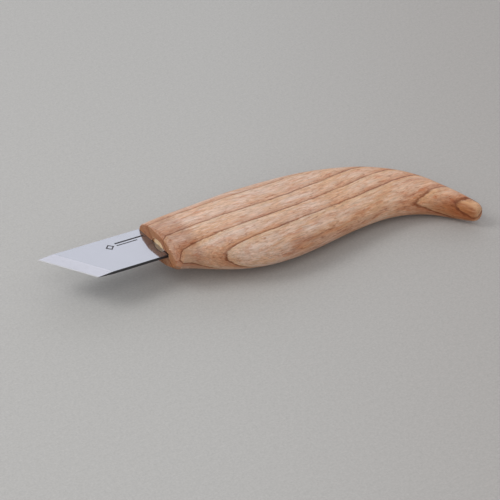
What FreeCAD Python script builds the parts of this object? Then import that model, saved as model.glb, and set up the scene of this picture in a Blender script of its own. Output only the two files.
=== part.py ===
import FreeCAD, Part
import math
import os
from FreeCAD import Vector, Matrix, Placement, Rotation

# Whittling knife with a skew blade: a flat steel blade with a hidden tang,
# a one-piece sculpted ash handle, and the cured resin that fills the mortise.
#
# Working frame while the pieces are shaped ("knife frame", mm):
#   origin  middle of the blade strip where it leaves the handle's front face
#   +X      along the blade strip, from the tip side towards the handle's tail
#   +Y      towards the spine of the blade
#   +Z      square to the flat of the blade
# At the end the knife is laid on its side the way it rests on a bench, and the
# origin is moved to the middle of its footprint.

# ---------------------------------------------------------------- driving dimensions
# blade
blade_width = 20.0          # strip width, spine to heel side
spine_length = 40.5         # exposed length along the spine, to the tip
heel_length = 28.0          # exposed length along the lower side, to the heel
blade_thickness = 1.1       # polished, exposed flats
root_thickness = 1.2        # unpolished root and tang, inside the handle
bevel_width = 5.2           # ground bevel, measured square to the cutting edge
edge_land = 0.10            # thickness left at the cutting edge
root_step_x = -0.4          # where the polished flats stop, just outside the handle
root_depth = 5.0            # full-width root seated in the kerf
tang_length = 40.0          # from the handle's front face to the tang's end
tang_width_root = 6.6
tang_width_end = 4.6
tang_offset_y = -2.8        # middle of the tang and of its mortise

# kerf and oval mortise in the handle
kerf_width = 2.0            # loose part of the saw kerf, below the mortise's middle
kerf_depth = 5.4
kerf_low_y = -10.35
tight_from_y = -2.0         # from here to the spine side the kerf grips the root
kerf_resin_recess = 1.8     # resin level in the loose part, outside the mortise
mortise_half_width = 4.05   # along Y
mortise_half_height = 2.75  # along Z
mortise_depth = 43.0
resin_recess = 0.25         # the resin's face sits this far inside the mouth

# front end of the handle, hand-cut facets round the end face
chamfer_out = 3.4           # how far the facets widen
chamfer_run = 4.6           # over this length along X
front_outline = [           # end face, (y, z)
    (9.95, 0.10), (9.25, 2.10), (7.30, 3.75), (2.80, 5.15), (-2.60, 4.95),
    (-7.60, 4.45), (-11.90, 2.65), (-15.10, 0.45), (-15.60, -1.15),
    (-12.90, -3.20), (-8.80, -4.55), (-3.40, -5.15), (3.20, -5.05),
    (7.90, -3.70), (9.50, -1.90),
]

# handle stations: centre x, centre y, heading in degrees, half width, half thickness
section_power = 2.3         # superellipse exponent of every section
stations = [
    (-1.00, -3.23, 1.60, 13.38, 5.36),
    (2.00, -3.21, 1.60, 13.66, 5.93),
    (7.13, -3.36, -6.35, 14.21, 6.83),
    (12.21, -4.13, -10.74, 15.27, 7.64),
    (18.46, -5.50, -12.20, 17.01, 8.45),
    (25.97, -7.09, -9.72, 19.11, 9.06),
    (33.58, -8.00, -4.72, 20.58, 9.13),
    (41.25, -8.10, 0.59, 21.24, 8.70),
    (48.89, -7.62, 3.93, 21.29, 8.12),
    (56.53, -6.94, 3.86, 20.94, 7.58),
    (64.23, -6.51, 0.99, 20.22, 7.10),
    (71.97, -6.65, -3.93, 19.27, 6.70),
    (79.68, -7.55, -11.09, 18.08, 6.36),
    (87.27, -9.45, -21.04, 16.54, 6.14),
    (93.82, -12.54, -32.09, 14.58, 5.88),
    (99.12, -16.47, -42.49, 12.23, 5.63),
    (103.12, -20.87, -51.22, 9.60, 5.39),
    (106.08, -25.20, -57.95, 7.18, 5.22),
    (108.33, -29.18, -62.72, 5.40, 5.11),
    (110.03, -32.69, -65.76, 4.30, 4.84),
    (111.33, -35.63, -67.43, 3.70, 4.44),
    (112.24, -37.77, -68.00, 3.35, 4.05),
]
tail_heading = -68.0
tail_cap = [                # rounded end: distance past the last station, scale
    (1.90, 0.905), (3.05, 0.770), (3.75, 0.610), (4.10, 0.430),
]

# how the knife lies on a bench: belly and tail touch, the blade points up a little
rest_pitch = -3.15         # degrees
rest_roll = 0.89            # degrees
rest_flat = 0.10            # belly and tail are sanded flat by this much where they touch

# ---------------------------------------------------------------- helpers


def section_wire(x, y, heading, a, b, count=48):
    """Closed superellipse section, square to the heading, in the upright plane."""
    h = math.radians(heading)
    nx, ny = -math.sin(h), math.cos(h)
    points = []
    for i in range(count):
        t = 2.0 * math.pi * i / count
        c, s = math.cos(t), math.sin(t)
        u = math.copysign(abs(c) ** (2.0 / section_power), c) * a
        w = math.copysign(abs(s) ** (2.0 / section_power), s) * b
        points.append(Vector(x + nx * u, y + ny * u, w))
    curve = Part.BSplineCurve()
    curve.interpolate(Points=points, PeriodicFlag=True)
    return Part.Wire([curve.toShape()])


def polygon_face(points):
    return Part.Face(Part.makePolygon(points + [points[0]]))


def offset_polygon(points, distance):
    """Convex outline moved outwards by the same distance on every side."""
    area = 0.0
    n = len(points)
    for i in range(n):
        x1, y1 = points[i]
        x2, y2 = points[(i + 1) % n]
        area += x1 * y2 - x2 * y1
    sign = 1.0 if area > 0 else -1.0
    lines = []
    for i in range(n):
        x1, y1 = points[i]
        x2, y2 = points[(i + 1) % n]
        dx, dy = x2 - x1, y2 - y1
        length = math.hypot(dx, dy)
        ox, oy = sign * dy / length, -sign * dx / length
        lines.append((x1 + ox * distance, y1 + oy * distance, dx, dy))
    moved = []
    for i in range(n):
        x1, y1, dx1, dy1 = lines[i - 1]
        x2, y2, dx2, dy2 = lines[i]
        det = dx1 * dy2 - dy1 * dx2
        t = ((x2 - x1) * dy2 - (y2 - y1) * dx2) / det
        moved.append((x1 + dx1 * t, y1 + dy1 * t))
    return moved


def prism(points_xy, z_low, z_high):
    face = polygon_face([Vector(x, y, z_low) for x, y in points_xy])
    return face.extrude(Vector(0, 0, z_high - z_low))


def tidy(shape):
    """One clean solid."""
    shape = shape.removeSplitter()
    solids = shape.Solids
    solids.sort(key=lambda s: -s.Volume)
    return solids[0]


# ---------------------------------------------------------------- blade
half_w = blade_width / 2.0
tip = (-spine_length, half_w)
heel = (-heel_length, -half_w)

exposed = prism([tip, heel, (root_step_x, -half_w), (root_step_x, half_w)],
                -blade_thickness / 2.0, blade_thickness / 2.0)
root = prism([(root_step_x, half_w), (root_step_x, -half_w), (root_depth, -half_w),
              (root_depth, half_w)],
             -root_thickness / 2.0, root_thickness / 2.0)
tang = prism([(root_depth - 0.5, tang_offset_y - tang_width_root / 2.0),
              (tang_length - 1.5, tang_offset_y - tang_width_end / 2.0),
              (tang_length, tang_offset_y - tang_width_end / 2.0 + 1.5),
              (tang_length, tang_offset_y + tang_width_end / 2.0 - 1.5),
              (tang_length - 1.5, tang_offset_y + tang_width_end / 2.0),
              (root_depth - 0.5, tang_offset_y + tang_width_root / 2.0)],
             -root_thickness / 2.0, root_thickness / 2.0)

# the two ground bevels along the cutting edge
edge_dx, edge_dy = heel[0] - tip[0], heel[1] - tip[1]
edge_len = math.hypot(edge_dx, edge_dy)
ex, ey = edge_dx / edge_len, edge_dy / edge_len      # along the edge, tip to heel
inx, iny = -ey, ex                                    # square to it, into the blade
if inx < 0:
    inx, iny = -inx, -iny


def bevel_cutter(side):
    t0 = edge_land / 2.0
    t1 = blade_thickness / 2.0
    slope = (t1 - t0) / bevel_width
    over = 1.0
    start = (tip[0] - ex * 6.0, tip[1] - ey * 6.0)
    profile = [
        (-over, side * (t0 - slope * over)),
        (bevel_width + over, side * (t1 + slope * over)),
        (-over, side * (t1 + slope * over)),
    ]
    pts = [Vector(start[0] + inx * d, start[1] + iny * d, z) for d, z in profile]
    return polygon_face(pts).extrude(Vector(ex, ey, 0) * (edge_len + 12.0))


blade = exposed.fuse([root, tang])
blade = tidy(blade)
blade = blade.cut(bevel_cutter(1.0)).cut(bevel_cutter(-1.0))
blade = tidy(blade)

# ---------------------------------------------------------------- handle
wires = [section_wire(*row) for row in stations]
lx, ly, _, la, lb = stations[-1]
hd = math.radians(tail_heading)
for distance, scale in tail_cap:
    wires.append(section_wire(lx + math.cos(hd) * distance, ly + math.sin(hd) * distance,
                              tail_heading, la * scale, lb * scale))
body = Part.makeLoft(wires, True, False)

inner = [Vector(0, y, z) for y, z in front_outline]
outer = [Vector(chamfer_run, y, z) for y, z in offset_polygon(front_outline, chamfer_out)]
keep = Part.makeLoft([Part.makePolygon(inner + [inner[0]]),
                      Part.makePolygon(outer + [outer[0]])], True, True)
front_block = Part.makeBox(chamfer_run + 3.0, 60.0, 40.0, Vector(-3.0, -32.0, -20.0))
body = body.cut(front_block.cut(keep))

loose = Part.makeBox(kerf_depth + 3.0, tight_from_y - kerf_low_y, kerf_width,
                     Vector(-3.0, kerf_low_y, -kerf_width / 2.0))
tight = Part.makeBox(root_depth + 3.0, 40.0, root_thickness,
                     Vector(-3.0, tight_from_y, -root_thickness / 2.0))
kerf = loose.fuse(tight)
oval = Part.Ellipse(Vector(-3.0, tang_offset_y + mortise_half_width, 0),
                    Vector(-3.0, tang_offset_y, mortise_half_height),
                    Vector(-3.0, tang_offset_y, 0))
mortise = Part.Face(Part.Wire([oval.toShape()])).extrude(Vector(mortise_depth + 3.0, 0, 0))
pocket = kerf.fuse(mortise)
handle = tidy(body.cut(pocket))

# ---------------------------------------------------------------- resin round the tang
filled = body.common(pocket)
mouth = Part.makeBox(3.0 + resin_recess, 60.0, 40.0, Vector(-3.0, -32.0, -20.0))
low_mouth = Part.makeBox(3.0 + kerf_resin_recess, 20.0, 20.0,
                         Vector(-3.0, tang_offset_y - mortise_half_width - 20.0, -10.0))
resin = filled.cut(mouth).cut(low_mouth).cut(blade)
resin = tidy(resin)

# ---------------------------------------------------------------- lay the knife down
pieces = {"blade": blade, "handle": handle, "tang_resin": resin}

ry, rx = math.radians(rest_pitch), math.radians(rest_roll)
up = Vector(math.sin(ry), -math.sin(rx) * math.cos(ry), math.cos(rx) * math.cos(ry))
turn = Rotation(up, Vector(0, 0, 1))
ahead = turn.multVec(Vector(1, 0, 0))
level = Rotation(Vector(0, 0, 1), -math.degrees(math.atan2(ahead.y, ahead.x)))
lay = Placement(Vector(0, 0, 0), level.multiply(turn))

laid = {}
for name, shape in pieces.items():
    copy = shape.copy()
    copy.transformShape(lay.toMatrix())
    laid[name] = copy

box = None
for shape in laid.values():
    b = shape.optimalBoundingBox(True, False)
    if box is None:
        box = b
    else:
        box.add(b)
bench = box.ZMin + rest_flat
under = Part.makeBox(300.0, 200.0, 10.0, Vector(-100.0, -100.0, bench - 10.0))
laid["handle"] = tidy(laid["handle"].cut(under))
shift = Vector(-(box.XMin + box.XMax) / 2.0, -(box.YMin + box.YMax) / 2.0, -bench)

os.makedirs("parts", exist_ok=True)
for name, shape in laid.items():
    shape.translate(shift)
    shape.exportStep("parts/" + name + ".step")
    b = shape.optimalBoundingBox(True, False)
    print(name, "valid", shape.isValid(), "solids", len(shape.Solids),
          "faces", len(shape.Faces), "volume %.1f" % shape.Volume,
          "x %.3f..%.3f y %.3f..%.3f z %.3f..%.3f"
          % (b.XMin, b.XMax, b.YMin, b.YMax, b.ZMin, b.ZMax))

# reference points in the finished frame, for the record
final = lay.toMatrix()
for label, p in (("knife origin", Vector(0, 0, 0)), ("spine tip", Vector(-spine_length, half_w, 0)),
                 ("flat centre", Vector(-14.0, 0, blade_thickness / 2.0))):
    q = final.multVec(p) + shift
    print(label, "%.4f %.4f %.4f" % (q.x, q.y, q.z))
q = final.multVec(Vector(0, 0, 1)) - final.multVec(Vector(0, 0, 0))
print("flat normal %.6f %.6f %.6f" % (q.x, q.y, q.z))
q = final.multVec(Vector(1, 0, 0)) - final.multVec(Vector(0, 0, 0))
print("blade axis %.6f %.6f %.6f" % (q.x, q.y, q.z))
for face in laid["handle"].Faces:
    b = face.BoundBox
    if b.ZMax < 0.001:
        print("resting flat area %.2f x %.2f..%.2f y %.2f..%.2f" % (face.Area, b.XMin, b.XMax, b.YMin, b.YMax))
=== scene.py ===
import math

import bpy
import bmesh
import numpy as np
from mathutils import Matrix, Vector, noise


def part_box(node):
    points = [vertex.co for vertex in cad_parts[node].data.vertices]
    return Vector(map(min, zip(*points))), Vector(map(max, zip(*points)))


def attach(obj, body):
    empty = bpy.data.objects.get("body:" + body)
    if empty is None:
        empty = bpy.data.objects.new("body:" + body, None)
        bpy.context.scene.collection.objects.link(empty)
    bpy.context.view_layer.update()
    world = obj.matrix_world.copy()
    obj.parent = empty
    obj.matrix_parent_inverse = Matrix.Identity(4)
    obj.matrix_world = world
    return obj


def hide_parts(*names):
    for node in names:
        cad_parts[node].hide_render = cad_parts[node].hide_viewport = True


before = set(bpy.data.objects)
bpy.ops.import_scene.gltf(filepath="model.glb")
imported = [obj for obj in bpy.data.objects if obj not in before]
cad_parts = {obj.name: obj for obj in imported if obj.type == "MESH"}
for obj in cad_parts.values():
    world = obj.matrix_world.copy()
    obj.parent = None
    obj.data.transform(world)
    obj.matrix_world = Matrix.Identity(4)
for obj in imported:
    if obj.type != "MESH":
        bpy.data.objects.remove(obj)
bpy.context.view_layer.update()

# ------------------------------------------------------------------ knife frame
# X along the blade, Y towards the spine, Z square to the flat, in mm.
ORG = np.array([-37.6150, 14.0739, 10.7947])
AX = np.array([0.998489, 0.0, -0.054950])
AZ = np.array([0.054944, 0.015533, 0.998369])
AX /= np.linalg.norm(AX)
AZ -= AX * AX.dot(AZ)
AZ /= np.linalg.norm(AZ)
AY = np.cross(AZ, AX)
R_K = np.column_stack([AX, AY, AZ])


def to_row(p):
    """Knife frame in mm to the row frame in metres."""
    return (np.asarray(p, dtype=float) @ R_K.T + ORG) / 1000.0


b_lo, b_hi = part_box("blade")
tip_row = to_row([-40.5, 10.0, 0.0])
assert abs(tip_row[0] - b_lo[0]) < 2e-4, "the knife frame no longer matches the CAD blade"
assert abs(tip_row[1] - b_hi[1]) < 3e-4, "the knife frame no longer matches the CAD blade"

# ------------------------------------------------------------------ mesh helpers


def new_object(name, verts_mm, faces, smooth_angle=None):
    me = bpy.data.meshes.new(name)
    me.from_pydata([tuple(v) for v in to_row(verts_mm)], [], [tuple(int(i) for i in f) for f in faces])
    me.validate()
    me.update()
    ob = bpy.data.objects.new(name, me)
    bpy.context.scene.collection.objects.link(ob)
    bm = bmesh.new()
    bm.from_mesh(me)
    bmesh.ops.recalc_face_normals(bm, faces=bm.faces)
    bm.to_mesh(me)
    bm.free()
    if smooth_angle is not None:
        me.shade_smooth()
        me.set_sharp_from_angle(angle=math.radians(smooth_angle))
    return ob


def apply_modifiers(ob):
    dg = bpy.context.evaluated_depsgraph_get()
    me = bpy.data.meshes.new_from_object(ob.evaluated_get(dg))
    ob.modifiers.clear()
    old = ob.data
    ob.data = me
    bpy.data.meshes.remove(old)
    return ob


def boolean(ob, other, operation):
    m = ob.modifiers.new("bool", "BOOLEAN")
    m.operation = operation
    m.solver = "EXACT"
    m.object = other
    apply_modifiers(ob)
    me = other.data
    bpy.data.objects.remove(other)
    bpy.data.meshes.remove(me)
    return ob


def spline(xk, yk):
    """Natural cubic spline through the knots."""
    xk = np.asarray(xk, float)
    yk = np.asarray(yk, float)
    n = len(xk)
    h = np.diff(xk)
    a = np.zeros((n, n))
    r = np.zeros(n)
    a[0, 0] = a[-1, -1] = 1.0
    for i in range(1, n - 1):
        a[i, i - 1], a[i, i], a[i, i + 1] = h[i - 1], 2 * (h[i - 1] + h[i]), h[i]
        r[i] = 6 * ((yk[i + 1] - yk[i]) / h[i] - (yk[i] - yk[i - 1]) / h[i - 1])
    m = np.linalg.solve(a, r)

    def f(x):
        x = np.asarray(x, float)
        i = np.clip(np.searchsorted(xk, x) - 1, 0, n - 2)
        t0, t1 = xk[i + 1] - x, x - xk[i]
        return (m[i] * t0 ** 3 + m[i + 1] * t1 ** 3) / (6 * h[i]) \
            + (yk[i] / h[i] - m[i] * h[i] / 6) * t0 + (yk[i + 1] / h[i] - m[i + 1] * h[i] / 6) * t1
    return f


# ------------------------------------------------------------------ node helpers


class Nodes:
    def __init__(self, tree):
        self.t = tree
        self.n = tree.nodes
        self.l = tree.links

    def set(self, socket, value):
        if isinstance(value, bpy.types.NodeSocket):
            self.l.new(value, socket)
        elif value is not None:
            socket.default_value = value

    def math(self, op, a, b=None, c=None, clamp=False):
        n = self.n.new("ShaderNodeMath")
        n.operation = op
        n.use_clamp = clamp
        self.set(n.inputs[0], a)
        if b is not None:
            self.set(n.inputs[1], b)
        if c is not None:
            self.set(n.inputs[2], c)
        return n.outputs[0]

    def vec(self, op, a, b=None, scale=None):
        n = self.n.new("ShaderNodeVectorMath")
        n.operation = op
        self.set(n.inputs[0], a)
        if b is not None:
            self.set(n.inputs[1], b)
        if scale is not None:
            self.set(n.inputs["Scale"], scale)
        return n.outputs["Value"] if op in ("DOT_PRODUCT", "LENGTH") else n.outputs[0]

    def combine(self, x, y, z):
        n = self.n.new("ShaderNodeCombineXYZ")
        self.set(n.inputs[0], x)
        self.set(n.inputs[1], y)
        self.set(n.inputs[2], z)
        return n.outputs[0]

    def separate(self, v):
        n = self.n.new("ShaderNodeSeparateXYZ")
        self.set(n.inputs[0], v)
        return n.outputs[0], n.outputs[1], n.outputs[2]

    def noise(self, vector, scale=1.0, detail=2.0, rough=0.5, dist=0.0):
        n = self.n.new("ShaderNodeTexNoise")
        self.set(n.inputs["Vector"], vector)
        n.inputs["Scale"].default_value = scale
        n.inputs["Detail"].default_value = detail
        n.inputs["Roughness"].default_value = rough
        n.inputs["Distortion"].default_value = dist
        return n.outputs[0]

    def step(self, v, lo, hi, a=0.0, b=1.0, smooth=True):
        n = self.n.new("ShaderNodeMapRange")
        n.interpolation_type = "SMOOTHSTEP" if smooth else "LINEAR"
        n.clamp = True
        self.set(n.inputs["Value"], v)
        n.inputs["From Min"].default_value = lo
        n.inputs["From Max"].default_value = hi
        n.inputs["To Min"].default_value = a
        n.inputs["To Max"].default_value = b
        return n.outputs[0]

    def mix(self, fac, a, b, mode="MIX"):
        n = self.n.new("ShaderNodeMix")
        n.data_type = "RGBA"
        n.blend_type = mode
        n.clamp_factor = True
        self.set(n.inputs[0], fac)
        self.set(n.inputs[6], a)
        self.set(n.inputs[7], b)
        return n.outputs[2]

    def bump(self, height, strength, distance, normal=None):
        n = self.n.new("ShaderNodeBump")
        n.inputs["Strength"].default_value = strength
        n.inputs["Distance"].default_value = distance
        self.set(n.inputs["Height"], height)
        if normal is not None:
            self.set(n.inputs["Normal"], normal)
        return n.outputs[0]

    def knife_coords(self):
        """Object coordinates turned into the knife frame, in mm."""
        tc = self.n.new("ShaderNodeTexCoord")
        mp = self.n.new("ShaderNodeMapping")
        mp.vector_type = "POINT"
        rot = Matrix([list(row) for row in R_K.T])
        loc = -(R_K.T @ ORG)
        mp.inputs["Scale"].default_value = (1000.0, 1000.0, 1000.0)
        mp.inputs["Rotation"].default_value = rot.to_euler("XYZ")
        mp.inputs["Location"].default_value = tuple(loc)
        self.l.new(tc.outputs["Object"], mp.inputs["Vector"])
        return mp.outputs[0]


def material(name):
    m = bpy.data.materials.new(name)
    m.use_nodes = True
    for n in list(m.node_tree.nodes):
        m.node_tree.nodes.remove(n)
    out = m.node_tree.nodes.new("ShaderNodeOutputMaterial")
    bsdf = m.node_tree.nodes.new("ShaderNodeBsdfPrincipled")
    m.node_tree.links.new(bsdf.outputs[0], out.inputs[0])
    return m, Nodes(m.node_tree), bsdf


def srgb(r, g, b):
    def f(c):
        c /= 255.0
        return c / 12.92 if c <= 0.04045 else ((c + 0.055) / 1.055) ** 2.4
    return (f(r), f(g), f(b), 1.0)


# ------------------------------------------------------------------ ash wood
# Growth layers are nearly flat sheets that stand almost upright in the handle and
# run a little askew to the blade, so they show as long lines on the broad faces
# and as nested loops on the belly and on the tail.
GRAIN = np.array([0.9945, 0.1050, 0.0])
RINGS = [16.8, 8.7, 0.45, -7.84, -14.17, -20.09, -28.16, -32.1]
FAINT = [-26.92, 4.6]
# how the sheets bend: powers of x, y, z (normalised) and the shift in mm
BEND = [
    (1, 0, 0, -4.998), (0, 0, 1, -5.951), (2, 0, 0, -0.931), (1, 1, 0, -1.315), (0, 2, 0, -0.961),
    (1, 0, 1, -0.796), (0, 1, 1, -4.125), (0, 0, 2, 4.787), (3, 0, 0, 2.070), (2, 1, 0, -2.305),
    (1, 2, 0, -0.645), (0, 3, 0, -1.926), (2, 0, 1, -3.704), (1, 1, 1, -0.060), (0, 2, 1, 0.610),
]


def wood_material():
    m, nd, bsdf = material("ash_oiled")
    k = nd.knife_coords()
    x, y, z = nd.separate(k)
    u = nd.vec("DOT_PRODUCT", k, tuple(GRAIN))
    # fibres wander a little from side to side
    wander = nd.noise(nd.combine(nd.math("MULTIPLY", u, 0.045), nd.math("MULTIPLY", y, 0.09),
                                 nd.math("MULTIPLY", z, 0.09)), 1.0, 2.0, 0.5)
    wander = nd.math("MULTIPLY_ADD", wander, 2.6, -1.3)

    xn = nd.math("MULTIPLY", nd.math("SUBTRACT", x, 50.0), 1.0 / 50.0)
    yn = nd.math("MULTIPLY", nd.math("ADD", y, 8.0), 1.0 / 20.0)
    zn = nd.math("MULTIPLY", z, 1.0 / 9.0)
    # Horner form in x for every pair of powers of y and z
    groups = {}
    for px, py, pz, c in BEND:
        groups.setdefault((py, pz), {})[px] = c
    r = y
    for (py, pz), poly in groups.items():
        top = max(poly)
        acc = None
        for px in range(top, -1, -1):
            c = poly.get(px, 0.0)
            acc = c if acc is None else nd.math("MULTIPLY_ADD", acc, xn, c)
        for _ in range(py):
            acc = nd.math("MULTIPLY", acc, yn)
        for _ in range(pz):
            acc = nd.math("MULTIPLY", acc, zn)
        r = nd.math("ADD", r, acc)
    v = nd.math("ADD", r, wander)
    jitter = nd.noise(nd.combine(nd.math("MULTIPLY", u, 0.12), nd.math("MULTIPLY", y, 0.35),
                                 nd.math("MULTIPLY", z, 0.35)), 1.0, 3.0, 0.55)
    jitter = nd.math("MULTIPLY_ADD", jitter, 1.1, -0.55)
    ragged = nd.noise(nd.combine(nd.math("MULTIPLY", u, 0.9), nd.math("MULTIPLY", v, 1.6),
                                 nd.math("MULTIPLY", z, 1.6)), 1.0, 2.0, 0.6)
    ragged = nd.math("MULTIPLY_ADD", ragged, 0.36, -0.18)
    r = nd.math("ADD", r, nd.math("ADD", jitter, ragged))
    above = None
    below = None
    for c in RINGS:
        d = nd.math("SUBTRACT", r, c)
        neg = nd.math("LESS_THAN", d, 0.0)
        up = nd.math("MULTIPLY_ADD", neg, 1000.0, d)
        dn = nd.math("SUBTRACT", nd.math("MULTIPLY", nd.math("SUBTRACT", 1.0, neg), 1000.0), d)
        above = up if above is None else nd.math("MINIMUM", above, up)
        below = dn if below is None else nd.math("MINIMUM", below, dn)

    def fibres(along, across, detail, rough, dist=0.0, shift=0.0):
        vec = nd.combine(nd.math("MULTIPLY_ADD", u, along, shift), nd.math("MULTIPLY", v, across),
                         nd.math("MULTIPLY", z, across))
        return nd.noise(vec, 1.0, detail, rough, dist)

    hair = fibres(0.26, 2.1, 3.0, 0.70, 0.0, 3.0)
    fibre = fibres(0.17, 1.25, 4.0, 0.66, 0.2)
    streak = fibres(0.095, 0.62, 4.0, 0.66, 0.25, 7.0)
    patch = fibres(0.060, 0.24, 3.0, 0.55, 0.3, 11.0)
    pore_n = fibres(0.38, 1.9, 2.0, 0.55, 0.0, 17.0)
    glint_n = fibres(0.20, 1.7, 3.0, 0.60, 0.0, 29.0)
    dash_n = fibres(0.24, 1.05, 2.0, 0.60, 0.0, 41.0)

    # early wood: sharp on one side of the line, fading over a few mm on the other
    edge = nd.math("MULTIPLY_ADD", streak, 4.6, 0.9)
    band = nd.math("SUBTRACT", 1.0, nd.math("DIVIDE", above, edge), clamp=True)
    band = nd.math("POWER", band, 1.15)
    line = nd.math("MAXIMUM", nd.step(above, 0.05, 0.55, 1.0, 0.0), nd.step(below, 0.02, 0.26, 1.0, 0.0))
    line = nd.math("MULTIPLY", line, nd.step(streak, 0.30, 0.58, 0.60, 1.0))
    line = nd.math("MULTIPLY", line, nd.step(r, -2.5, -1.0, 1.0, 0.55))
    glow = nd.step(below, 0.1, 2.6, 1.0, 0.0)
    faint = None
    for c in FAINT:
        d = nd.math("ABSOLUTE", nd.math("SUBTRACT", r, c))
        f = nd.step(d, 0.0, 0.9, 1.0, 0.0)
        faint = f if faint is None else nd.math("MAXIMUM", faint, f)
    faint = nd.math("MULTIPLY", faint, nd.step(streak, 0.36, 0.62))

    # end grain, where the surface cuts across the fibres, drinks more oil
    geo = nd.n.new("ShaderNodeNewGeometry")
    g_row = R_K @ (GRAIN / np.linalg.norm(GRAIN))
    across = nd.math("ABSOLUTE", nd.vec("DOT_PRODUCT", geo.outputs["Normal"], tuple(g_row)))
    endgrain = nd.step(across, 0.28, 0.90)

    pale = srgb(220, 190, 171)
    warm = srgb(213, 171, 140)
    red = srgb(190, 122, 86)
    brown = srgb(186, 124, 82)
    dark = srgb(122, 66, 34)
    col = nd.mix(nd.step(patch, 0.36, 0.64), pale, warm)
    col = nd.mix(nd.math("MULTIPLY", nd.step(streak, 0.46, 0.72), 0.60), col, red)
    col = nd.mix(nd.math("MULTIPLY", glow, 0.40), col, srgb(214, 178, 138))
    col = nd.mix(nd.math("MULTIPLY", faint, 0.55), col, srgb(160, 98, 74))
    col = nd.mix(nd.math("MULTIPLY", band, 0.62), col, brown)
    tone = nd.step(fibre, 0.30, 0.72, 1.13, 0.83, smooth=False)
    tone = nd.math("MULTIPLY", tone, nd.step(hair, 0.28, 0.72, 1.19, 0.80, smooth=False))
    col = nd.mix(1.0, col, nd.combine(tone, tone, tone), "MULTIPLY")
    pores = nd.step(pore_n, 0.57, 0.70)
    pore_amount = nd.math("MULTIPLY_ADD", band, 0.40, 0.38)
    pore_mask = nd.math("MULTIPLY", pores, pore_amount)
    dashes = nd.math("MULTIPLY", nd.step(dash_n, 0.56, 0.68), nd.math("MULTIPLY_ADD", band, 0.30, 0.42))
    col = nd.mix(dashes, col, srgb(196, 128, 88))
    col = nd.mix(pore_mask, col, srgb(142, 80, 50))
    glint = nd.math("MULTIPLY", nd.step(glint_n, 0.55, 0.68), nd.math("MULTIPLY_ADD", band, -0.36, 0.52))
    col = nd.mix(glint, col, srgb(232, 211, 197))
    col = nd.mix(nd.math("MULTIPLY", line, 0.82), col, dark)
    soaked = nd.mix(1.0, col, srgb(206, 170, 135), "MULTIPLY")
    col = nd.mix(nd.math("MULTIPLY", endgrain, 0.90), col, soaked)
    # the facets cut round the mouth are a little darker than the long sides: partly their darker end grain, partly
    # painted shade on facets turned away from the light
    ring = nd.math("MULTIPLY", nd.step(x, 7.0, 12.0, 1.0, 0.0), nd.step(across, 0.45, 0.80, 1.0, 0.0))
    ring = nd.math("MULTIPLY", ring, nd.step(y, 2.0, 8.0, 1.0, 0.2))
    col = nd.mix(ring, col, nd.mix(1.0, col, (0.74, 0.65, 0.61, 1.0), "MULTIPLY"))
    # painted highlight: the convex cut edges round the mouth are painted pale, standing in for the light their rounded
    # ridges catch
    edge_highlight = nd.step(geo.outputs["Pointiness"], 0.53, 0.58)
    edge_highlight = nd.math("MULTIPLY", edge_highlight, nd.step(x, 4.5, 8.0, 1.0, 0.0))
    edge_highlight = nd.math("MULTIPLY", edge_highlight, nd.step(streak, 0.30, 0.55, 0.35, 0.75))
    col = nd.mix(edge_highlight, col, srgb(232, 200, 168))
    front = nd.mix(1.0, col, (1.03, 1.06, 1.09, 1.0), "MULTIPLY")
    col = nd.mix(nd.math("MULTIPLY", nd.step(x, 24.0, 46.0, 1.0, 0.0), nd.math("SUBTRACT", 1.0, endgrain)), col, front)
    # a warmer wood towards the tail, and a little darker on the tail itself
    back = nd.mix(1.0, col, (1.0, 0.945, 0.860, 1.0), "MULTIPLY")
    col = nd.mix(nd.step(x, 48.0, 78.0), col, back)
    tail = nd.mix(1.0, col, (0.965, 0.90, 0.86, 1.0), "MULTIPLY")
    col = nd.mix(nd.step(x, 82.0, 99.0), col, tail)
    nd.set(bsdf.inputs["Base Color"], col)

    rough = nd.math("MULTIPLY_ADD", pore_mask, 0.25, 0.50)
    rough = nd.math("MULTIPLY_ADD", nd.math("SUBTRACT", fibre, 0.5), 0.25, rough)
    nd.set(bsdf.inputs["Roughness"], rough)
    bsdf.inputs["Specular IOR Level"].default_value = 0.32
    height = nd.math("MULTIPLY_ADD", pore_mask, -0.9, nd.math("MULTIPLY", fibre, 0.30))
    nrm = nd.bump(height, 0.6, 0.00012)
    nd.set(bsdf.inputs["Normal"], nrm)
    return m


# ------------------------------------------------------------------ steel, resin, mark


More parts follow.
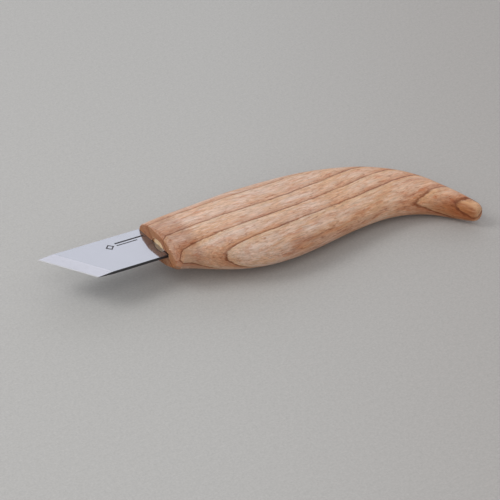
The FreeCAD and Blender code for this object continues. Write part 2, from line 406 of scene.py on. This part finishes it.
def steel_material(name, base, rough, direction, line_scale, strength, variation=0.06, haze=0.0):
    """direction: unit vector in the knife frame that the polishing lines follow.
    haze: share of a second, much rougher lobe under the reflection."""
    m, nd, bsdf = material(name)
    k = nd.knife_coords()
    d = np.array(direction, float)
    d /= np.linalg.norm(d)
    side = np.array([-d[1], d[0], 0.0])
    along = nd.vec("DOT_PRODUCT", k, tuple(d))
    across = nd.vec("DOT_PRODUCT", k, tuple(side))
    _, _, z = nd.separate(k)
    lines = nd.noise(nd.combine(nd.math("MULTIPLY", along, 0.12), nd.math("MULTIPLY", across, line_scale), z),
                     1.0, 4.0, 0.7)
    cloud = nd.noise(k, 0.16, 3.0, 0.55)
    smear = nd.noise(nd.combine(nd.math("MULTIPLY", along, 0.05), nd.math("MULTIPLY", across, 0.5), z), 1.0, 3.0, 0.6)
    tone = nd.math("MULTIPLY_ADD", nd.math("SUBTRACT", cloud, 0.5), variation, 1.0)
    tone = nd.math("MULTIPLY_ADD", nd.math("SUBTRACT", lines, 0.5), variation * 0.9, tone)
    col = nd.mix(1.0, base, nd.combine(tone, tone, tone), "MULTIPLY")
    rr = nd.math("MULTIPLY_ADD", nd.math("SUBTRACT", lines, 0.5), 0.10, rough)
    rr = nd.math("MULTIPLY_ADD", nd.math("SUBTRACT", smear, 0.5), 0.06, rr)
    nrm = nd.bump(lines, strength, 0.00002)
    nd.set(bsdf.inputs["Base Color"], col)
    bsdf.inputs["Metallic"].default_value = 1.0
    nd.set(bsdf.inputs["Roughness"], rr)
    bsdf.inputs["Anisotropic"].default_value = 0.25
    nd.set(bsdf.inputs["Normal"], nrm)
    if haze > 0.0:
        satin = nd.n.new("ShaderNodeBsdfPrincipled")
        nd.set(satin.inputs["Base Color"], col)
        satin.inputs["Metallic"].default_value = 1.0
        satin.inputs["Roughness"].default_value = 0.46
        nd.set(satin.inputs["Normal"], nrm)
        mix = nd.n.new("ShaderNodeMixShader")
        mix.inputs[0].default_value = haze
        nd.l.new(bsdf.outputs[0], mix.inputs[1])
        nd.l.new(satin.outputs[0], mix.inputs[2])
        out = next(n for n in nd.n if n.type == "OUTPUT_MATERIAL")
        nd.l.new(mix.outputs[0], out.inputs[0])
    return m


def resin_material():
    m, nd, bsdf = material("cured_resin")
    k = nd.knife_coords()
    cloud = nd.noise(k, 0.9, 4.0, 0.55)
    fleck = nd.noise(k, 5.0, 2.0, 0.5)
    _, y, _ = nd.separate(k)
    col = nd.mix(nd.step(cloud, 0.35, 0.68), srgb(250, 222, 186), srgb(238, 200, 152))
    col = nd.mix(nd.math("MULTIPLY", nd.step(fleck, 0.60, 0.70), 0.25), col, srgb(200, 150, 96))
    # amber-brown towards the spine, partly where the resin thins out and partly painted shade at that end of the plug
    col = nd.mix(nd.step(y, -1.6, 1.0), col, srgb(190, 128, 66))
    nd.set(bsdf.inputs["Base Color"], col)
    nd.set(bsdf.inputs["Roughness"], nd.math("MULTIPLY_ADD", cloud, 0.16, 0.14))
    bsdf.inputs["IOR"].default_value = 1.52
    bsdf.inputs["Subsurface Weight"].default_value = 0.12
    bsdf.inputs["Subsurface Radius"].default_value = (0.0012, 0.0008, 0.0004)
    bsdf.inputs["Subsurface Scale"].default_value = 1.0
    bsdf.inputs["Coat Weight"].default_value = 0.3
    nd.set(bsdf.inputs["Normal"], nd.bump(cloud, 0.25, 0.0002))
    return m


def mark_material():
    m, nd, bsdf = material("etched_mark")
    k = nd.knife_coords()
    grain = nd.noise(k, 9.0, 3.0, 0.6)
    col = nd.mix(nd.step(grain, 0.3, 0.7), srgb(38, 36, 40), srgb(66, 63, 68))
    nd.set(bsdf.inputs["Base Color"], col)
    bsdf.inputs["Metallic"].default_value = 0.4
    nd.set(bsdf.inputs["Roughness"], nd.math("MULTIPLY_ADD", grain, 0.2, 0.5))
    nd.set(bsdf.inputs["Normal"], nd.bump(grain, 0.2, 0.00002))
    return m


EDGE = np.array([12.5, -20.0, 0.0]) / math.hypot(12.5, 20.0)
INWARD = np.array([0.848, 0.530, 0.0])
MAT_WOOD = wood_material()
# one steel in four copies: the bevel and cutting-edge copies get lighter base colours than the flat, painted highlight
# for the light those faces catch
MAT_FLAT = steel_material("steel_flat", (0.416, 0.420, 0.452, 1.0), 0.07, (1.0, 0.0, 0.0), 9.0, 0.05, 0.06, 0.20)
MAT_BEVEL = steel_material("steel_bevel", (0.575, 0.572, 0.620, 1.0), 0.24, tuple(INWARD), 11.0, 0.22, 0.10)
MAT_MICRO = steel_material("steel_edge", (0.78, 0.78, 0.79, 1.0), 0.16, tuple(EDGE), 12.0, 0.10)
MAT_SIDE = steel_material("steel_side", (0.085, 0.082, 0.088, 1.0), 0.42, (1.0, 0.0, 0.0), 6.0, 0.35, 0.30)
MAT_RESIN = resin_material()
MAT_MARK = mark_material()

# ------------------------------------------------------------------ handle
POWER = 2.3
INSET = 0.06
STATIONS = np.array([
    (-1.00, -3.23, 1.60, 13.38, 5.36),
    (2.00, -3.21, 1.60, 13.66, 5.93),
    (7.13, -3.36, -6.35, 14.21, 6.83),
    (12.21, -4.13, -10.74, 15.27, 7.64),
    (18.46, -5.50, -12.20, 17.01, 8.45),
    (25.97, -7.09, -9.72, 19.11, 9.06),
    (33.58, -8.00, -4.72, 20.58, 9.13),
    (41.25, -8.10, 0.59, 21.24, 8.70),
    (48.89, -7.62, 3.93, 21.29, 8.12),
    (56.53, -6.94, 3.86, 20.94, 7.58),
    (64.23, -6.51, 0.99, 20.22, 7.10),
    (71.97, -6.65, -3.93, 19.27, 6.70),
    (79.68, -7.55, -11.09, 18.08, 6.36),
    (87.27, -9.45, -21.04, 16.54, 6.14),
    (93.82, -12.54, -32.09, 14.58, 5.88),
    (99.12, -16.47, -42.49, 12.23, 5.63),
    (103.12, -20.87, -51.22, 9.60, 5.39),
    (106.08, -25.20, -57.95, 7.18, 5.22),
    (108.33, -29.18, -62.72, 5.40, 5.11),
    (110.03, -32.69, -65.76, 4.30, 4.84),
    (111.33, -35.63, -67.43, 3.70, 4.44),
    (112.24, -37.77, -68.00, 3.35, 4.05),
])
TAIL = [(1.90, 0.905), (3.05, 0.770), (3.75, 0.610), (4.06, 0.430)]
rows = [list(r) for r in STATIONS]
_l = rows[-1]
for dist, sc in TAIL:
    rows.append([_l[0] + math.cos(math.radians(-68.0)) * dist, _l[1] + math.sin(math.radians(-68.0)) * dist,
                 -68.0, _l[3] * sc, _l[4] * sc])
rows = np.array(rows)
S_K = np.concatenate([[0.0], np.cumsum(np.hypot(np.diff(rows[:, 0]), np.diff(rows[:, 1])))])
F_X, F_Y, F_H = (spline(S_K, rows[:, i]) for i in (0, 1, 2))
N_ST = len(STATIONS)
F_A, F_B = spline(S_K[:N_ST], rows[:N_ST, 3]), spline(S_K[:N_ST], rows[:N_ST, 4])
S_TAIL = S_K[N_ST - 1]
S_END = S_K[-1]


def half_sizes(s):
    """Half width and half thickness, with the rounded tail end."""
    s = np.asarray(s, float)
    a = F_A(np.minimum(s, S_TAIL))
    b = F_B(np.minimum(s, S_TAIL))
    sc = np.interp(s, S_K[N_ST - 1:], [1.0] + [t[1] for t in TAIL])
    return a * sc - INSET, b * sc - INSET


def section_point(s, theta):
    """Point of the handle's skin at distance s along its spine and polar angle theta."""
    a, b = half_sizes(s)
    h = np.radians(F_H(s))
    c, sn = np.cos(theta), np.sin(theta)
    r = ((np.abs(c) / a) ** POWER + (np.abs(sn) / b) ** POWER) ** (-1.0 / POWER)
    return np.stack([F_X(s) - np.sin(h) * r * c, F_Y(s) + np.cos(h) * r * c, r * sn], -1)


FRONT = [
    (9.95, 0.10), (9.25, 2.10), (7.30, 3.75), (2.80, 5.15), (-2.60, 4.95),
    (-7.60, 4.45), (-11.90, 2.65), (-15.10, 0.45), (-15.60, -1.15),
    (-12.90, -3.20), (-8.80, -4.55), (-3.40, -5.15), (3.20, -5.05),
    (7.90, -3.70), (9.50, -1.90),
]
OUT, RUN = 3.4, 4.6


def widened(points, distance):
    n = len(points)
    area = sum(points[i][0] * points[(i + 1) % n][1] - points[(i + 1) % n][0] * points[i][1] for i in range(n))
    sign = 1.0 if area > 0 else -1.0
    lines = []
    for i in range(n):
        (x1, y1), (x2, y2) = points[i], points[(i + 1) % n]
        dx, dy = x2 - x1, y2 - y1
        length = math.hypot(dx, dy)
        lines.append((x1 + sign * dy / length * distance, y1 - sign * dx / length * distance, dx, dy))
    out = []
    for i in range(n):
        x1, y1, dx1, dy1 = lines[i - 1]
        x2, y2, dx2, dy2 = lines[i]
        det = dx1 * dy2 - dy1 * dx2
        t = ((x2 - x1) * dy2 - (y2 - y1) * dx2) / det
        out.append((x1 + dx1 * t, y1 + dy1 * t))
    return out


def build_handle():
    inner = widened(FRONT, -INSET)
    outer = widened(FRONT, OUT - INSET)
    n_cols = 320
    # columns follow the end face's outline, with one on every corner
    lens = [math.hypot(inner[(i + 1) % len(inner)][0] - inner[i][0], inner[(i + 1) % len(inner)][1] - inner[i][1])
            for i in range(len(inner))]
    total = sum(lens)
    counts = [max(6, int(round(n_cols * ln / total))) for ln in lens]
    fi, fo = [], []
    for i, cnt in enumerate(counts):
        j = (i + 1) % len(inner)
        for q in range(cnt):
            t = q / cnt
            fi.append((inner[i][0] * (1 - t) + inner[j][0] * t, inner[i][1] * (1 - t) + inner[j][1] * t))
            fo.append((outer[i][0] * (1 - t) + outer[j][0] * t, outer[i][1] * (1 - t) + outer[j][1] * t))
    fi, fo = np.array(fi), np.array(fo)
    n = len(fi)

    def facet(w):
        """Points of the facets, w from 0 at the end face to 1."""
        w = np.broadcast_to(np.asarray(w, float), (n,))
        yz = fi + (fo - fi) * w[:, None]
        return np.column_stack([RUN * w, yz])

    def locate(p):
        """Distance along the spine and polar angle of points near the front end."""
        s = p[:, 0] + 1.0
        for _ in range(12):
            h = np.radians(F_H(s))
            dx, dy = p[:, 0] - F_X(s), p[:, 1] - F_Y(s)
            s = s + dx * np.cos(h) + dy * np.sin(h)
        h = np.radians(F_H(s))
        dx, dy = p[:, 0] - F_X(s), p[:, 1] - F_Y(s)
        c = -dx * np.sin(h) + dy * np.cos(h)
        return s, np.arctan2(p[:, 2], c), np.hypot(c, p[:, 2])

    def outside(w):
        p = facet(w)
        s, th, r = locate(p)
        a, b = half_sizes(s)
        rb = ((np.abs(np.cos(th)) / a) ** POWER + (np.abs(np.sin(th)) / b) ** POWER) ** (-1.0 / POWER)
        return r - rb

    lo, hi = np.zeros(n), np.ones(n)
    for _ in range(40):
        mid = (lo + hi) / 2
        o = outside(mid) > 0
        hi = np.where(o, mid, hi)
        lo = np.where(o, lo, mid)
    wc = np.clip((lo + hi) / 2, 0.02, 1.0)
    s_c, th_c, _ = locate(facet(wc))

    rings = []
    # end face, from the middle out
    centre = np.array([0.0, -2.9, 0.0])
    f0 = facet(0.0)
    face_scales = [0.12, 0.26, 0.42, 0.58, 0.72, 0.84, 0.92, 0.965, 0.985]
    for sc in face_scales:
        rings.append(centre + (f0 - centre) * sc)
    rings.append(f0)
    for t in (0.06, 0.14, 0.25, 0.40, 0.55, 0.70, 0.82, 0.91, 0.97):
        rings.append(facet(wc * t))
    # skin
    s_common = 7.5
    for t in (0.0, 0.012, 0.03, 0.055, 0.09, 0.135, 0.19, 0.26, 0.34, 0.43, 0.53, 0.63, 0.73, 0.82, 0.91):
        rings.append(section_point(s_c + (s_common - s_c) * t, th_c))
    count = 236
    ss = s_common + (S_TAIL - s_common) * np.linspace(0, 1, count)
    ss = np.concatenate([ss, np.linspace(S_TAIL, S_END, 16)[1:]])
    # polar angles ease into an even spread further back
    flat = np.unwrap(th_c)
    direction = 1.0 if flat[-1] > flat[0] else -1.0
    even = flat[0] + direction * 2 * np.pi * np.arange(n) / n
    even += np.mean(flat - even)
    for s in ss:
        t = min(1.0, max(0.0, (s - s_common) / 25.0))
        t = t * t * (3 - 2 * t) * 0.55
        rings.append(section_point(np.full(n, s), flat * (1 - t) + even * t))
    tail_c = np.array([F_X(S_END), F_Y(S_END), 0.0])
    last = rings[-1]
    for sc in (0.86, 0.6, 0.3):
        rings.append(tail_c + (last - tail_c) * sc)
    verts = np.vstack(rings)
    nr = len(rings)
    verts = np.vstack([verts, centre, tail_c])
    faces = []
    for r in range(nr - 1):
        for j in range(n):
            k = (j + 1) % n
            faces.append((r * n + j, r * n + k, (r + 1) * n + k, (r + 1) * n + j))
    c0, c1 = nr * n, nr * n + 1
    for j in range(n):
        k = (j + 1) % n
        faces.append((c0, k, j))
        faces.append((c1, (nr - 1) * n + j, (nr - 1) * n + k))

    # soften the cut edges a little, as light sanding does
    grid = verts[:nr * n].reshape(nr, n, 3).copy()
    nf = len(face_scales)
    for _ in range(3):
        g = grid.copy()
        avg = (np.roll(g, 1, 1) + np.roll(g, -1, 1)) / 2
        for r in range(nf - 3, nf + 26):
            near = (g[r - 1] + g[r + 1]) / 2
            grid[r] = g[r] * 0.5 + (avg[r] * 0.5 + near * 0.5) * 0.5
    # slow unevenness of a hand-sanded surface, always inwards
    flatg = grid.reshape(-1, 3)
    nxt = np.roll(grid, -1, 0)
    nxt[-1] = grid[-1]
    prv = np.roll(grid, 1, 0)
    prv[0] = grid[0]
    normal = np.cross(nxt - prv, np.roll(grid, -1, 1) - np.roll(grid, 1, 1)).reshape(-1, 3)
    ln = np.linalg.norm(normal, axis=1, keepdims=True)
    normal = normal / np.maximum(ln, 1e-9)
    mid = np.repeat(grid.mean(1), n, axis=0)
    flip = np.sign(((flatg - mid) * normal).sum(1, keepdims=True))
    normal = normal * np.where(flip == 0, 1, flip)
    depth = np.zeros(len(flatg))
    for i, p in enumerate(flatg):
        q = Vector((p[0] * 0.055, p[1] * 0.11, p[2] * 0.13))
        depth[i] = 0.5 + 0.5 * noise.noise(q + Vector((3.1, 8.2, 1.7)))
    start = (nf + 11) * n
    depth[:start] *= 0.15
    moved = flatg - normal * (depth * 0.10)[:, None]
    keep_end = (nr - 3) * n
    moved[keep_end:] = flatg[keep_end:]
    verts[:nr * n] = moved
    return new_object("handle_body", verts, faces)


def box_mesh(name, lo, hi):
    v = [(x, y, z) for x in (lo[0], hi[0]) for y in (lo[1], hi[1]) for z in (lo[2], hi[2])]
    f = [(0, 1, 3, 2), (4, 6, 7, 5), (0, 4, 5, 1), (2, 3, 7, 6), (0, 2, 6, 4), (1, 5, 7, 3)]
    return new_object(name, np.array(v, float), f)


def oval_mesh(name, x0, x1, cy, hy, hz, count=72, front=None):
    """Closed oval cylinder along X. front(y, z) gives the x of its front face."""
    ang = [2 * math.pi * i / count for i in range(count)]
    v, f = [], []
    scales = [0.25, 0.5, 0.72, 0.88, 0.96, 1.0]
    for sc in scales:
        for t in ang:
            yy, zz = cy + hy * sc * math.cos(t), hz * sc * math.sin(t)
            v.append((front(yy, zz) if front else x0, yy, zz))
    for sc in (1.0,):
        for t in ang:
            v.append((x1, cy + hy * math.cos(t), hz * math.sin(t)))
    v.append((front(cy, 0.0) if front else x0, cy, 0.0))
    v.append((x1, cy, 0.0))
    nring = len(scales) + 1
    for r in range(nring - 1):
        for i in range(count):
            k = (i + 1) % count
            f.append((r * count + i, r * count + k, (r + 1) * count + k, (r + 1) * count + i))
    c0, c1 = len(v) - 2, len(v) - 1
    for i in range(count):
        k = (i + 1) % count
        f.append((c0, k, i))
        f.append((c1, (nring - 1) * count + i, (nring - 1) * count + k))
    return new_object(name, np.array(v, float), f)


KERF = 1.0
GRIP = 0.612
MORT_Y, MORT_HY, MORT_HZ = -2.8, 4.05, 2.75
handle = build_handle()
boolean(handle, box_mesh("cut_loose", (-2.0, -10.35, -KERF), (5.4, -2.0, KERF)), "DIFFERENCE")
boolean(handle, box_mesh("cut_tight", (-2.0, -2.5, -GRIP), (5.0, 14.0, GRIP)), "DIFFERENCE")
boolean(handle, oval_mesh("cut_oval", -2.0, 43.0, MORT_Y, MORT_HY, MORT_HZ), "DIFFERENCE")
handle.name = "handle_body"
handle.data.name = "handle_body"
handle.data.shade_smooth()
handle.data.set_sharp_from_angle(angle=math.radians(38))
handle.data.materials.clear()
handle.data.materials.append(MAT_WOOD)
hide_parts("handle")
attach(handle, "root")

# ------------------------------------------------------------------ blade
T_EDGE, T_MICRO, T_FLAT, T_ROOT = 0.022, 0.088, 0.549, 0.598


def build_blade():
    tip, heel = np.array([-40.49, 9.995]), np.array([-27.995, -9.995])
    e = (heel - tip) / np.linalg.norm(heel - tip)
    per = abs(e[1])
    micro = 0.42 / per
    ground = 5.2 / per
    top = [
        (tip[0], tip[1], T_EDGE), (heel[0], heel[1], T_EDGE),
        (tip[0] + micro, tip[1], T_MICRO), (heel[0] + micro, heel[1], T_MICRO),
        (tip[0] + ground, tip[1], T_FLAT), (heel[0] + ground, heel[1], T_FLAT),
        (-0.42, 9.995, T_FLAT), (-0.42, -9.995, T_FLAT),
        (-0.38, 9.995, T_ROOT), (-0.38, -9.995, T_ROOT),
        (4.99, 9.995, T_ROOT), (4.99, -9.995, T_ROOT),
        (4.99, 0.5, T_ROOT), (38.5, -0.5, T_ROOT), (39.99, -2.0, T_ROOT),
        (39.99, -3.6, T_ROOT), (38.5, -5.1, T_ROOT), (4.99, -6.1, T_ROOT),
    ]
    n = len(top)
    v = top + [(x, y, -z) for x, y, z in top]
    patches = [((0, 1, 3, 2), 2), ((2, 3, 5, 4), 1), ((4, 5, 7, 6), 0), ((6, 7, 9, 8), 3),
               ((8, 9, 11, 17, 12, 10), 0), ((12, 17, 16, 15, 14, 13), 0)]
    f, mats = [], []
    for p, mt in patches:
        f.append(p)
        mats.append(mt)
        f.append(tuple(n + i for i in reversed(p)))
        mats.append(mt)
    rim = [0, 1, 3, 5, 7, 9, 11, 17, 16, 15, 14, 13, 12, 10, 8, 6, 4, 2]
    for i, a in enumerate(rim):
        b = rim[(i + 1) % len(rim)]
        f.append((a, b, b + n, a + n))
        mats.append(2 if (a, b) == (0, 1) else 3)
    me = bpy.data.meshes.new("blade_steel")
    me.from_pydata([tuple(p) for p in to_row(np.array(v))], [], f)
    for mt in (MAT_FLAT, MAT_BEVEL, MAT_MICRO, MAT_SIDE):
        me.materials.append(mt)
    for poly, mt in zip(me.polygons, mats):
        poly.material_index = mt
    bm = bmesh.new()
    bm.from_mesh(me)
    bmesh.ops.recalc_face_normals(bm, faces=bm.faces)
    bm.to_mesh(me)
    bm.free()
    ob = bpy.data.objects.new("blade_steel", me)
    bpy.context.scene.collection.objects.link(ob)
    bev = ob.modifiers.new("ease", "BEVEL")
    bev.width = 0.00007
    bev.segments = 2
    bev.limit_method = "ANGLE"
    bev.angle_limit = math.radians(30)
    bev.material = -1
    apply_modifiers(ob)
    ob.data.shade_smooth()
    ob.data.set_sharp_from_angle(angle=math.radians(3))
    return ob


blade = build_blade()
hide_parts("blade")
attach(blade, "root")


# ------------------------------------------------------------------ resin


def meniscus(y, z):
    """The resin stands proud of its edge in the middle, and creeps up the tang."""
    q = math.sqrt(((y - MORT_Y) / MORT_HY) ** 2 + (z / MORT_HZ) ** 2)
    return 0.28 + 0.14 * min(q, 1.0) ** 4 + 0.03 * math.sin(y * 1.7 + 0.6)


resin = oval_mesh("resin_plug", 0.5, 42.98, MORT_Y, MORT_HY - 0.012, MORT_HZ - 0.012, 96, meniscus)
boolean(resin, box_mesh("fill_a", (1.85, -10.33, -KERF + 0.01), (5.38, -2.0, KERF - 0.01)), "UNION")
boolean(resin, box_mesh("slab", (-3.0, -10.0, -0.605), (4.995, 12.0, 0.605)), "DIFFERENCE")
resin.name = "resin_plug"
resin.data.name = "resin_plug"
resin.data.shade_smooth()
resin.data.set_sharp_from_angle(angle=math.radians(40))
resin.data.materials.clear()
resin.data.materials.append(MAT_RESIN)
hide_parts("tang_resin")
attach(resin, "root")


# ------------------------------------------------------------------ plain index mark on the flat


def build_mark():
    """A lozenge ring and two plain bars, laid on the flat. It carries no lettering."""
    z0, z1 = T_FLAT - 0.002, T_FLAT + 0.012
    shapes = []

    def plate(outline, holes=None):
        shapes.append((outline, holes))

    cx, cy = -15.1, 4.2
    ring_o = [(cx + 1.75, cy), (cx, cy + 1.75), (cx - 1.75, cy), (cx, cy - 1.75)]
    ring_i = [(cx + 1.05, cy), (cx, cy + 1.05), (cx - 1.05, cy), (cx, cy - 1.05)]
    v, f = [], []

    def add(pts, quads):
        base = len(v)
        v.extend(pts)
        f.extend([tuple(base + i for i in q) for q in quads])

    pts = [(x, y, z1) for x, y in ring_o] + [(x, y, z1) for x, y in ring_i] \
        + [(x, y, z0) for x, y in ring_o] + [(x, y, z0) for x, y in ring_i]
    quads = []
    for i in range(4):
        k = (i + 1) % 4
        quads += [(i, k, 4 + k, 4 + i), (8 + i, 12 + i, 12 + k, 8 + k), (i, 8 + i, 8 + k, k),
                  (4 + i, 4 + k, 12 + k, 12 + i)]
    add(pts, quads)
    for x0, x1, y0, y1 in ((-12.5, -0.9, 5.05, 5.85), (-12.5, -4.2, 3.75, 4.25)):
        pts = [(x, y, z) for z in (z0, z1) for x, y in ((x0, y0), (x1, y0), (x1, y1), (x0, y1))]
        add(pts, [(0, 3, 2, 1), (4, 5, 6, 7), (0, 1, 5, 4), (1, 2, 6, 5), (2, 3, 7, 6), (3, 0, 4, 7)])
    return new_object("blade_index_mark", np.array(v, float), f)


mark = build_mark()
mark.data.materials.append(MAT_MARK)
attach(mark, "root")

# ------------------------------------------------------------------ floor


def floor_material():
    m, nd, bsdf = material("studio_floor")
    tc = nd.n.new("ShaderNodeTexCoord")
    soft = nd.noise(tc.outputs["Object"], 1.3, 2.0, 0.5)
    grit = nd.noise(tc.outputs["Object"], 1300.0, 2.0, 0.7)
    nap = nd.noise(tc.outputs["Object"], 520.0, 2.0, 0.6)
    t = nd.math("MULTIPLY_ADD", nd.math("SUBTRACT", soft, 0.5), 0.03, 1.0)
    t = nd.math("MULTIPLY_ADD", nd.math("SUBTRACT", grit, 0.5), 0.34, t)
    t = nd.math("MULTIPLY_ADD", nd.math("SUBTRACT", nap, 0.5), 0.12, t)
    col = nd.mix(1.0, (0.503, 0.496, 0.484, 1.0), nd.combine(t, t, t), "MULTIPLY")
    # painted shade: the floor is painted a little darker and warmer towards the far right, where less light reaches it
    fall = nd.vec("DOT_PRODUCT", tc.outputs["Object"], (0.8352, -0.5499, 0.0))
    floor_painted_shade = nd.mix(1.0, col, (0.905, 0.880, 0.872, 1.0), "MULTIPLY")
    col = nd.mix(nd.step(fall, -0.035, 0.115), col, floor_painted_shade)
    nd.set(bsdf.inputs["Base Color"], col)
    bsdf.inputs["Roughness"].default_value = 0.85
    bsdf.inputs["Specular IOR Level"].default_value = 0.15
    return m


fm = bpy.data.meshes.new("floor")
fm.from_pydata([(-3, -3, 0), (3, -3, 0), (3, 3, 0), (-3, 3, 0)], [], [(0, 1, 2, 3)])
floor = bpy.data.objects.new("floor", fm)
bpy.context.scene.collection.objects.link(floor)
fm.materials.append(floor_material())

# ------------------------------------------------------------------ light


def area(name, loc, target, size, size_y, energy, color=(1, 1, 1)):
    ld = bpy.data.lights.new(name, "AREA")
    ld.shape = "RECTANGLE"
    ld.size = size
    ld.size_y = size_y
    ld.energy = energy
    ld.color = color
    ob = bpy.data.objects.new(name, ld)
    bpy.context.scene.collection.objects.link(ob)
    ob.location = loc
    d = Vector(target) - Vector(loc)
    ob.rotation_euler = d.to_track_quat("-Z", "Y").to_euler()
    return ob


VIEW = Vector((0.4569978, 0.6922871, 0.0)).normalized()
SIDE = Vector((0.8352299, -0.5498971, 0.0)).normalized()


def panel(name, turn, lift, dist, size, size_y, radiance, color=(1, 1, 1)):
    """Soft box seen from the knife at angle turn from straight behind it and at height lift."""
    a, e = math.radians(turn), math.radians(lift)
    pos = (VIEW * math.cos(a) + SIDE * math.sin(a)) * (math.cos(e) * dist) + Vector((0, 0, math.sin(e) * dist))
    return area(name, pos, (0, 0, 0.01), size, size_y, radiance * math.pi * size * size_y, color)


panel("back_card", 3, 24, 1.3, 2.6, 0.80, 1.06, (0.95, 0.98, 1.06))
panel("back_box", -4, 58, 1.1, 1.0, 0.75, 0.35, (0.99, 0.99, 1.02))
panel("left_box", -92, 46, 0.8, 0.42, 0.42, 3.95, (1.0, 0.998, 0.995))
panel("right_box", 88, 42, 1.0, 0.7, 0.6, 0.42)
panel("front_fill", 178, 50, 1.0, 0.8, 0.8, 0.92)
panel("front_low", 180, 26, 1.2, 1.2, 0.5, 1.08)

world = bpy.data.worlds.new("studio")
bpy.context.scene.world = world
world.use_nodes = True
wn = world.node_tree.nodes
bg = next(n for n in wn if n.type == "BACKGROUND")
bg.inputs["Color"].default_value = (1.0, 0.995, 0.985, 1.0)
bg.inputs["Strength"].default_value = 0.32

# ------------------------------------------------------------------ camera
cam_data = bpy.data.cameras.new("camera")
cam_data.sensor_fit = "HORIZONTAL"
cam_data.sensor_width = 36.0
cam_data.lens = 144.0
cam_data.clip_start = 0.01
cam_data.clip_end = 20.0
cam = bpy.data.objects.new("camera", cam_data)
bpy.context.scene.collection.objects.link(cam)
c_right = Vector((0.8352299, -0.5498971, 0.0018117))
c_up = Vector((0.3058481, 0.4672803, 0.8295215))
c_fwd = Vector((0.4569978, 0.6922871, -0.5584718))
rot = Matrix((c_right, c_up, -c_fwd)).transposed()
cam.matrix_world = Matrix.Translation((-0.3306116, -0.4913659, 0.4005954)) @ rot.to_4x4()
bpy.context.scene.camera = cam

vs = bpy.context.scene.view_settings
vs.view_transform = "Standard"
vs.look = "None"
vs.exposure = 0.0
vs.gamma = 1.0
